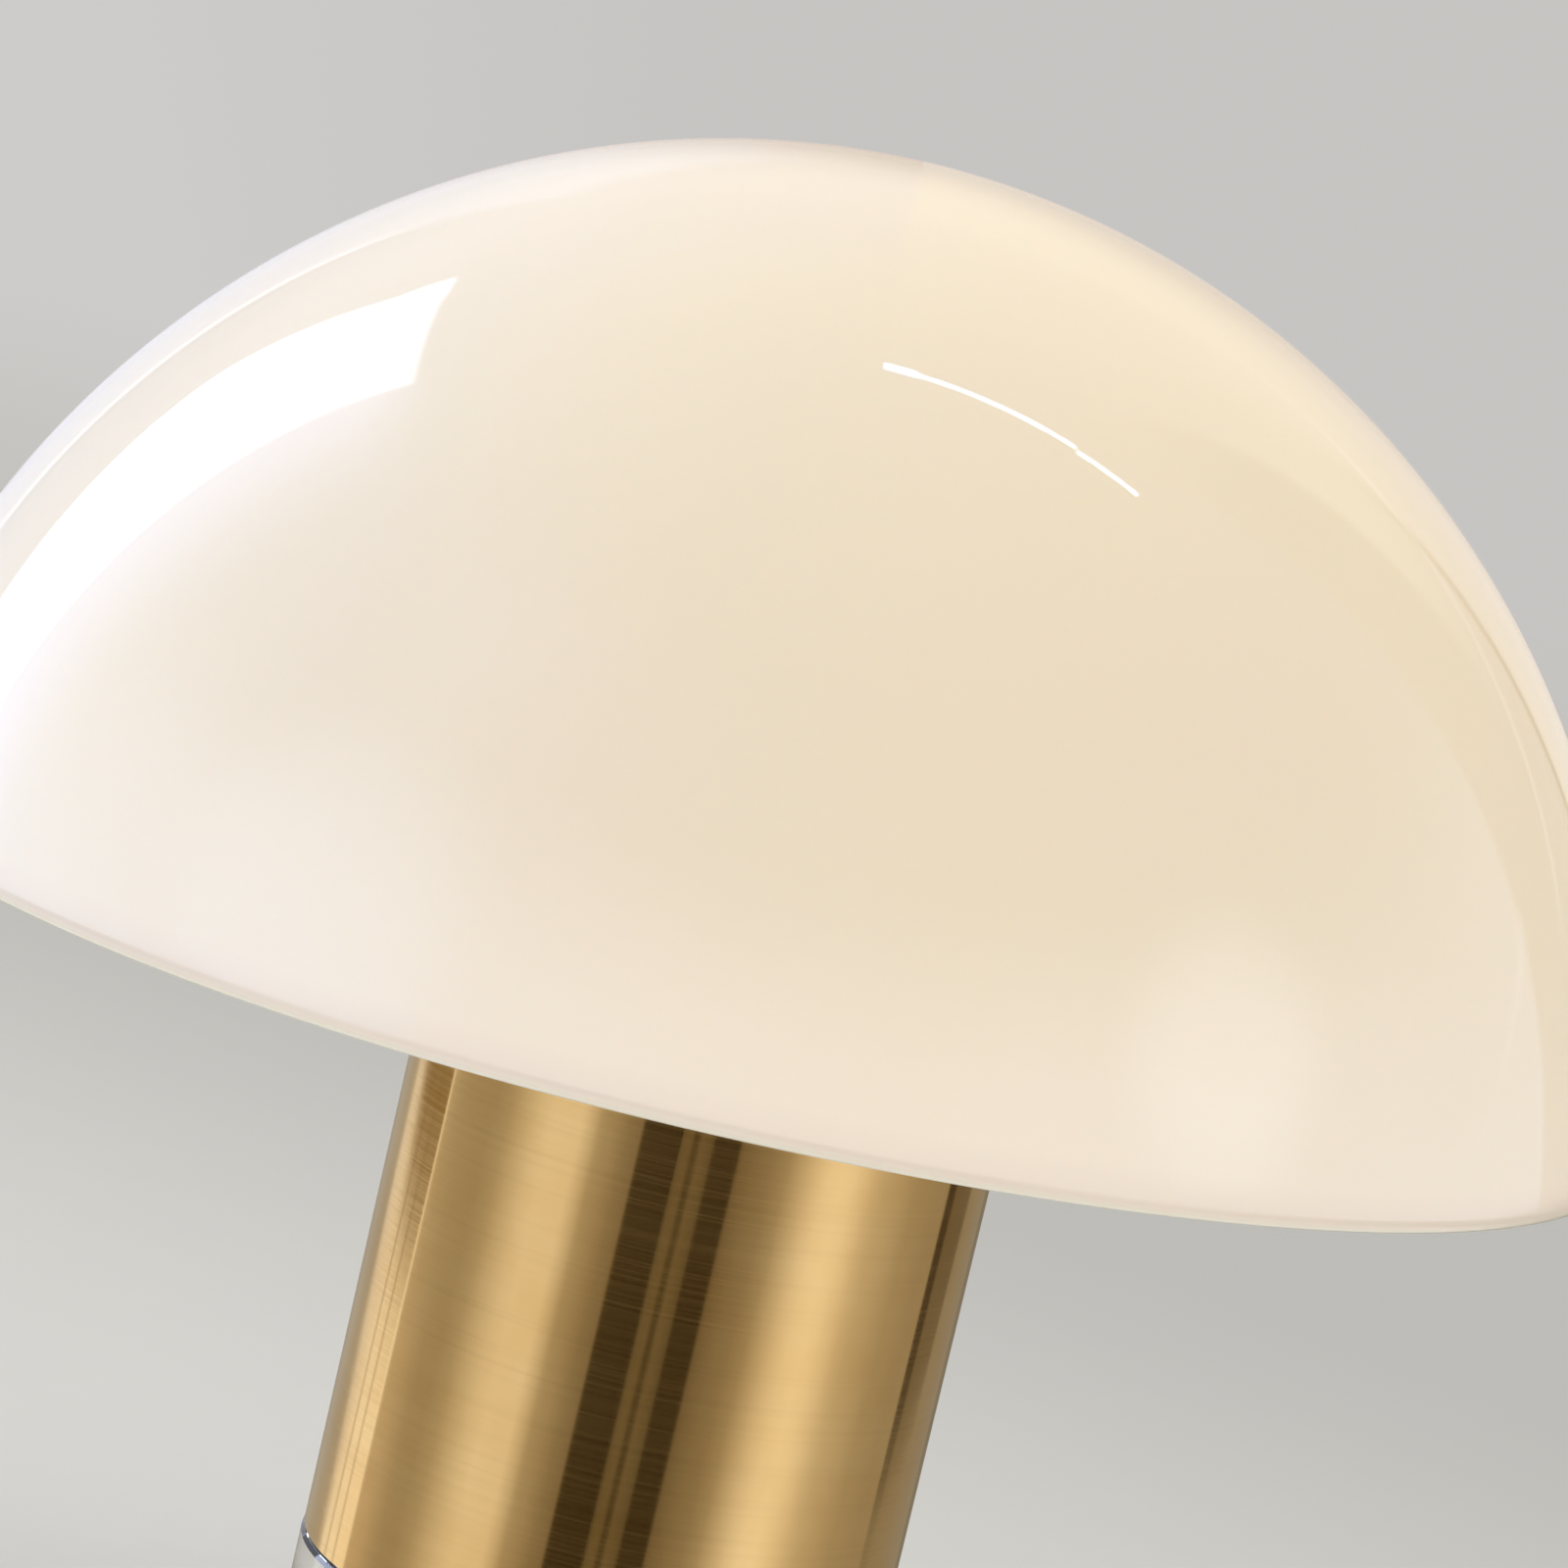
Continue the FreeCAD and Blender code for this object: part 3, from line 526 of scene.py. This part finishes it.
# Plain materials by slot: name, colour, second colour, roughness, scale of the noise, metallic,
# strength of the relief and its depth in metres
PLAIN_SURFACES = {
    "black_rubber": (
        "rubber_black", (0.022, 0.022, 0.023), (0.035, 0.034, 0.033), 0.62, 700, 0, 0.25, 0.00005),
    "steel": (
        "steel_zinc", (0.60, 0.60, 0.61), (0.66, 0.64, 0.58), 0.32, 260, 1.0, 0.1, 0.00002),
    "fibre": (
        "fibre_red", (0.32, 0.075, 0.045), (0.24, 0.055, 0.035), 0.7, 900, 0, 0.3, 0.00004),
    "brass_screw": (
        "brass_turned", (0.82, 0.62, 0.32), (0.76, 0.55, 0.26), 0.22, 500, 1.0, 0.05, 0.00002),
    "white_paint": (
        "paint_white", (0.86, 0.86, 0.84), (0.83, 0.83, 0.80), 0.38, 350, 0, 0.12, 0.00004),
    "holder_plastic": (
        "plastic_ivory", (0.80, 0.78, 0.73), (0.77, 0.75, 0.70), 0.45, 420, 0, 0.08, 0.00003),
    "nickel": (
        "nickel_plate", (0.70, 0.68, 0.64), (0.64, 0.61, 0.56), 0.24, 400, 1.0, 0.04, 0.00002),
    "black_glass": (
        "glass_black", (0.016, 0.014, 0.018), (0.03, 0.026, 0.032), 0.12, 300, 0, 0, 0),
    "bulb_plastic": (
        "plastic_white", (0.84, 0.84, 0.83), (0.81, 0.81, 0.80), 0.42, 500, 0, 0.06, 0.00003),
    "bulb_diffuser": (
        "globe_frosted", (0.90, 0.90, 0.88), (0.87, 0.87, 0.85), 0.34, 240, 0, 0.04, 0.00003),
}
GLOSS_CHANGE = (0.85, 1.15)        # shares of a plain material's roughness
RELIEF_FINENESS = 4                # scale of its relief's noise against its tone's


def settle(shader, **inputs):
    """Set inputs of a shader by their names, written with underscores for spaces."""
    for name, value in inputs.items():
        socket(shader, name).default_value = value


def surface(name, colour, roughness, metallic=0.0):
    """New material: its tree and its main shader."""
    made = bpy.data.materials.new(name)
    made.use_nodes = True
    tree = made.node_tree
    shader = tree.nodes["Principled BSDF"]
    settle(shader, Base_Color=(*colour, 1), Roughness=roughness, Metallic=metallic)
    return tree, shader


def grain(tree, scale, detail=2.0, stretch=(1, 1, 1)):
    """Noise in object space, stretched along the axes."""
    mapping = add(tree, "Mapping", Scale=stretch)
    join(tree, add(tree, "TexCoord").outputs["Object"], mapping, "Vector")
    noise = add(tree, "TexNoise", Scale=scale, Detail=detail)
    join(tree, mapping, noise, "Vector")
    return noise.outputs[0]


def relief(tree, shader, height, strength, distance):
    """Bump on a shader."""
    bump = add(tree, "Bump", Strength=strength, Distance=distance)
    join(tree, height, bump, "Height")
    join(tree, bump, shader, "Normal")


def plain_surface(name, colour, second, roughness, scale, metallic, bump, depth):
    """Material with a gentle change of tone and gloss, and a fine relief."""
    tree, shader = surface(name, colour, roughness, metallic)
    noise = grain(tree, scale, 4.0)
    tone = mix(tree, remap(tree, noise, *NOISE_MIDDLE, 0, 1), colour, second)
    join(tree, tone, shader, "Base_Color")
    gloss = [share * roughness for share in GLOSS_CHANGE]
    join(tree, remap(tree, noise, *NOISE_SPREAD, *gloss), shader, "Roughness")
    if bump:
        relief(tree, shader, grain(tree, scale * RELIEF_FINENESS), bump, depth)
    return bpy.data.materials[name]


def opal_glass():
    """Glossy cream opal glass, softly lit through its wall, with painted light and shade in a band
    above the lip.
    """
    cream, warm = (0.91, 0.795, 0.605), (0.90, 0.78, 0.585)
    tree, shader = surface("opal_glass_gloss", cream, 0.03)
    tone = mix(tree, remap(tree, grain(tree, 9.0), *NOISE_SPREAD, 0, 1), cream, warm)
    height = add(tree, "SeparateXYZ")
    join(tree, add(tree, "TexCoord").outputs["Object"], height, "Vector")
    # Painted light and shade by height above the lip, multiplied into the glass's colour
    above_lip = remap(tree, height.outputs[2], DOME_LIP, DOME_LIP + LIP_PAINTED_REACH, 0, 1)
    shade = ramp(tree, above_lip, LIP_PAINTED_LIGHT)
    join(tree, mix(tree, 1.0, tone, shade, "MULTIPLY"), shader, "Base_Color")
    settle(shader, IOR=1.5, Subsurface_Weight=0.25)
    settle(shader, Subsurface_Radius=(1.0, 0.75, 0.55), Subsurface_Scale=0.006)
    return bpy.data.materials["opal_glass_gloss"]


def brushed_brass():
    """Brass, finely brushed round the axis, so its highlights run up and down."""
    gold, deep, worn = (0.82, 0.565, 0.257), (0.78, 0.515, 0.218), (0.70, 0.475, 0.205)
    tree, shader = surface("brass_brushed_round", gold, 0.09, 1.0)
    cloud = grain(tree, 60.0, 3.0)
    tone = mix(tree, remap(tree, cloud, *NOISE_MIDDLE, 0, 1), gold, deep)
    strokes = remap(tree, grain(tree, 1.0, 5.0, BRASS_STROKES), *WORN_STROKES, 0, WORN_SHARE)
    join(tree, mix(tree, strokes, tone, worn), shader, "Base_Color")
    lines = grain(tree, 1.0, 1.0, BRASS_LINES)
    join(tree, remap(tree, lines, *NOISE_SPREAD, *BRASS_ROUGHNESS), shader, "Roughness")
    settle(shader, Anisotropic=0.9, Anisotropic_Rotation=0.25)
    join(tree, add(tree, "Tangent", direction_type="RADIAL", axis="Z"), shader, "Tangent")
    relief(tree, shader, lines, *BRASS_RELIEF)
    return bpy.data.materials["brass_brushed_round"]


def clear_crystal():
    """Clear polished crystal."""
    tree, shader = surface("crystal_clear", (0.985, 0.995, 0.99), 0.0)
    settle(shader, Transmission_Weight=1.0, IOR=1.52)
    join(tree, remap(tree, grain(tree, 25.0), 0.4, 0.8, 0.0, 0.012), shader, "Roughness")
    return bpy.data.materials["crystal_clear"]


def silicone():
    """Cloudy soft silicone."""
    colour = (0.84, 0.84, 0.80)
    tree, shader = surface("silicone_cloudy", colour, 0.42)
    join(tree, mix(tree, grain(tree, 300.0), colour, (0.76, 0.76, 0.73)), shader, "Base_Color")
    settle(shader, Subsurface_Weight=0.4)
    settle(shader, Subsurface_Radius=(1.0, 0.9, 0.8), Subsurface_Scale=0.003)
    return bpy.data.materials["silicone_cloudy"]


def glazed_ceramic():
    """White ceramic under a clear glaze, with faint specks."""
    white = (0.87, 0.85, 0.80)
    tree, shader = surface("ceramic_glazed", white, 0.35)
    specks = remap(tree, grain(tree, 900.0, 1.0), *SPECKS, 0, SPECK_SHARE)
    join(tree, mix(tree, specks, white, (0.45, 0.38, 0.30)), shader, "Base_Color")
    settle(shader, Coat_Weight=0.8, Coat_Roughness=0.08)
    return bpy.data.materials["ceramic_glazed"]


def make_surfaces():
    """Material of each slot of the record."""
    made = {
        "opal_glass": opal_glass(),
        "brass": brushed_brass(),
        "crystal": clear_crystal(),
        "silicone": silicone(),
        "ceramic": glazed_ceramic(),
    }
    made.update((slot, plain_surface(*recipe)) for slot, recipe in PLAIN_SURFACES.items())
    return made


# Pieces

SHARP_FROM = 38.0                  # degrees between faces, from which their edge shows
CLOSE = 1e-6                       # metres, counts as the same place


def piece(name, mesh, body, node, slot):
    """Object of the lamp that rides on a body and stands for a CAD node."""
    made = bpy.data.objects.new(name, mesh)
    bpy.context.collection.objects.link(made)
    for face in mesh.polygons:
        face.use_smooth = True
    mesh.set_sharp_from_angle(angle=math.radians(SHARP_FROM))
    mesh.materials.append(surfaces[slot])
    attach(made, body)
    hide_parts(node)


def turned(name, outline, sides, waves=None):
    """Closed mesh turned about the axis from (radius, level) points, each ring closed on the
    next and the last on the first. A point on the axis is a pole. With waves, a function of
    (radius, level, angle), rings get a radius that changes round the axis, as on a thread."""
    mesh = bpy.data.meshes.new(name)
    build = bmesh.new()
    rings = []
    for radius, level in outline:
        if radius < CLOSE:
            rings.append([build.verts.new((0, 0, level))])
            continue
        ring = []
        for step in range(sides):
            angle = TURN * step / sides
            here = waves(radius, level, angle) if waves else radius
            ring.append(build.verts.new((here * math.cos(angle), here * math.sin(angle), level)))
        rings.append(ring)
    closed = len(rings[0]) > 1
    for near, far in zip(rings, rings[1:] + (rings[:1] if closed else [])):
        stitch(build, near, far)
    bmesh.ops.recalc_face_normals(build, faces=build.faces)
    build.to_mesh(mesh)
    build.free()
    return mesh


def stitch(build, near, far):
    """Faces between two rings, one of which may be a pole."""
    count = max(len(near), len(far))
    for step in range(count):
        after = (step + 1) % count
        corners = [near[step % len(near)], near[after % len(near)]]
        corners += [far[after % len(far)], far[step % len(far)]]
        build.faces.new(list(dict.fromkeys(corners)))


def dome():
    """Blown dome: two ellipses a wall apart, joined by the full-round, fire-polished lip."""
    low = math.asin(DOME_RIM_CUT / (DOME_RISE - DOME_WALL / 2))

    def curve(inset, share):
        angle = low + (math.pi / 2 - low) * share
        width, height = DOME_HALF_WIDTH - inset, DOME_RISE - inset
        return Vector((width * math.cos(angle), DOME_CENTRE + height * math.sin(angle)))

    inner = [curve(DOME_WALL, 1 - step / DOME_RINGS) for step in range(DOME_RINGS + 1)]
    outer = [curve(0, step / DOME_RINGS) for step in range(DOME_RINGS + 1)]
    middle, half = (inner[-1] + outer[0]) / 2, (outer[0] - inner[-1]) / 2
    across = Vector((half.y, -half.x))
    lip = []
    for step in range(1, LIP_STEPS):
        angle = math.pi * step / LIP_STEPS
        lip.append(middle - half * math.cos(angle) + across * math.sin(angle))
    outline = [tuple(point) for point in inner + lip + outer]
    outline[0], outline[-1] = (0, outline[0][1]), (0, outline[-1][1])
    mesh = turned("opal_dome", outline, DOME_SIDES)
    piece("opal_dome", mesh, "shade", "glass_shade", "opal_glass")


def rise(value, low, high):
    """0 up to low and 1 from high, with a soft change between."""
    share = min(max((value - low) / (high - low), 0.0), 1.0)
    return share * share * (3 - 2 * share)


def rounded_groove(level, angle, pitch, depth):
    """Depth under the crest of a rounded right-hand thread."""
    return depth * (0.5 - 0.5 * math.cos(TURN * level / pitch - angle))


def pointed_groove(level, angle, pitch, depth):
    """Depth under the crest of a pointed right-hand thread."""
    share = (level / pitch - angle / TURN) % 1.0
    return depth * (1 - abs(2 * share - 1))


def levels(low, high, step):
    """Levels from low to high, at most a step apart."""
    count = math.ceil((high - low) / step)
    return [low + (high - low) * index / count for index in range(count + 1)]


def bulb_cap():
    """Thin screw cap with its thread pressed through the sheet, narrow at its foot."""
    low, high, crest = CAP_BOX[0][2], CAP_BOX[1][2], CAP_BOX[1][0]
    shoulder, inner = low + CAP_SHOULDER, crest - CAP_WALL

    def thread(radius, level, angle):
        if radius < inner - CAP_WALL:
            return radius
        groove = rounded_groove(level, angle, CAP_PITCH, CAP_THREAD_DEPTH)
        foot = 1 - rise(level, shoulder, shoulder + CAP_LOW_RUN)
        groove += (CAP_THREAD_DEPTH - groove) * foot
        return radius - groove * (1 - rise(level, *(high - run for run in CAP_HIGH_RUN)))

    walls = levels(shoulder + CAP_WALL, high, THREAD_STEP)
    outline = [(CAP_THROAT, low), (inner, low), (crest, shoulder)]
    outline += [(crest, level) for level in walls]
    outline += [(inner, level) for level in reversed(walls)]
    outline += [(CAP_THROAT, shoulder)]
    mesh = turned("bulb_cap_threaded", outline, CAP_SIDES, thread)
    piece("bulb_cap_threaded", mesh, "bulb", "bulb_screw_cap", "nickel")


def screw_shell():
    """Thin threaded sleeve that takes the cap, in step with its thread, on two legs."""
    high, outer = SHELL_BOX[1][2], SHELL_BOX[1][1]
    low, foot, bore = high - SHELL_LENGTH, SHELL_BOX[0][2], outer - CAP_WALL

    def thread(radius, level, angle):
        share = rise(level, low, low + SHELL_RUN) * (1 - rise(level, high - SHELL_RUN, high))
        return radius - share * rounded_groove(level, angle, CAP_PITCH, CAP_THREAD_DEPTH)

    walls = levels(low, high, THREAD_STEP)
    outline = [(outer, level) for level in walls] + [(bore, level) for level in reversed(walls)]
    mesh = turned("screw_shell_threaded", outline, SHELL_SIDES, thread)
    legs(mesh, low, foot, SHELL_LEG_STEPS * TURN / SHELL_SIDES)
    piece("screw_shell_threaded", mesh, "stand", "holder_screw_shell", "nickel")


def legs(mesh, low, foot, half_width):
    """Draw the sleeve's lower edge down into two legs, front and back."""
    build = bmesh.new()
    build.from_mesh(mesh)
    chosen = []
    for face in build.faces:
        middle = face.calc_center_median()
        aside = math.atan2(abs(middle.x), abs(middle.y))
        if max(abs(vert.co.z - low) for vert in face.verts) < CLOSE and aside < half_width:
            chosen.append(face)
    drawn = bmesh.ops.extrude_face_region(build, geom=chosen)["geom"]
    bmesh.ops.delete(build, geom=chosen, context="FACES_ONLY")
    for vert in (item for item in drawn if isinstance(item, bmesh.types.BMVert)):
        vert.co.z = foot
    bmesh.ops.recalc_face_normals(build, faces=build.faces)
    build.to_mesh(mesh)
    build.free()


def skirt():
    """Holder's outer sleeve with the thread that the clamping rings run on."""
    low, high, crest = SKIRT_BOX[0][2], SKIRT_BOX[1][2], SKIRT_BOX[1][0]

    def thread(radius, level, angle):
        if radius < crest - EDGE_BREAK / 2:
            return radius
        share = rise(level, *(low + run for run in SKIRT_LOW_RUN))
        share *= 1 - rise(level, *(high - run for run in SKIRT_HIGH_RUN))
        return radius - share * rounded_groove(level, angle, SKIRT_PITCH, SKIRT_THREAD_DEPTH)

    outline = [(SKIRT_BORE, low)]
    outline += [(crest, level) for level in levels(low, high - EDGE_BREAK, THREAD_STEP)]
    outline += [(crest - EDGE_BREAK, high), (SKIRT_MOUTH, high), (SKIRT_MOUTH, high - SKIRT_LIP)]
    outline += [(SKIRT_BORE, high - SKIRT_LIP)]
    mesh = turned("holder_skirt_threaded", outline, SKIRT_SIDES, thread)
    piece("holder_skirt_threaded", mesh, "stand", "holder_skirt", "holder_plastic")


def bolt():
    """Hexagon bolt, its head's corners turned down, threaded up to its end."""
    low, high = BOLT_BOX[0][2], BOLT_BOX[1][2]
    neck, tip = low + BOLT_HEAD_HEIGHT, BOLT_RADIUS - BOLT_THREAD_DEPTH
    chamfer, flats = BOLT_HEAD_FLATS / 2 * BOLT_CHAMFER, BOLT_HEAD_FLATS / 2
    corner = flats / math.cos(math.pi / 6)

    def shape(radius, level, angle):
        if radius > flats:
            side = flats / math.cos(angle % (TURN / 6) - TURN / 12)
            return min(side, chamfer + (level - low) * math.sqrt(3))
        if radius < BOLT_RADIUS or level < low + BOLT_PLAIN:
            return radius
        share = rise(level, low + BOLT_PLAIN, low + BOLT_PLAIN + BOLT_RUN)
        groove = share * pointed_groove(level, angle, BOLT_PITCH, BOLT_THREAD_DEPTH)
        return min(radius - groove, tip + high - level)

    outline = [(0, low)]
    chamfered = levels(low, low + BOLT_CHAMFER_HEIGHT, BOLT_CHAMFER_STEP)
    outline += [(corner, level) for level in chamfered]
    outline += [(corner, neck), (BOLT_RADIUS, neck), (BOLT_RADIUS, low + BOLT_PLAIN)]
    threaded = levels(low + BOLT_PLAIN, high, BOLT_PITCH / BOLT_STEPS)
    outline += [(BOLT_RADIUS, level) for level in threaded[1:]]
    outline += [(0, high)]
    mesh = turned("bolt_threaded", outline, BOLT_SIDES, shape)
    piece("bolt_threaded", mesh, "stand", "base_bolt", "steel")


surfaces = make_surfaces()
for part in frame["record"]["subparts"]:
    for holder in frame["nodes"][part["node"]].material_slots:
        holder.material = surfaces[part["material_slot"]]

dome()
bulb_cap()
screw_shell()
skirt()
bolt()
ground()
studio_light()
studio_lamps()
photo_camera()

view = bpy.context.scene.view_settings
view.view_transform = "Standard"
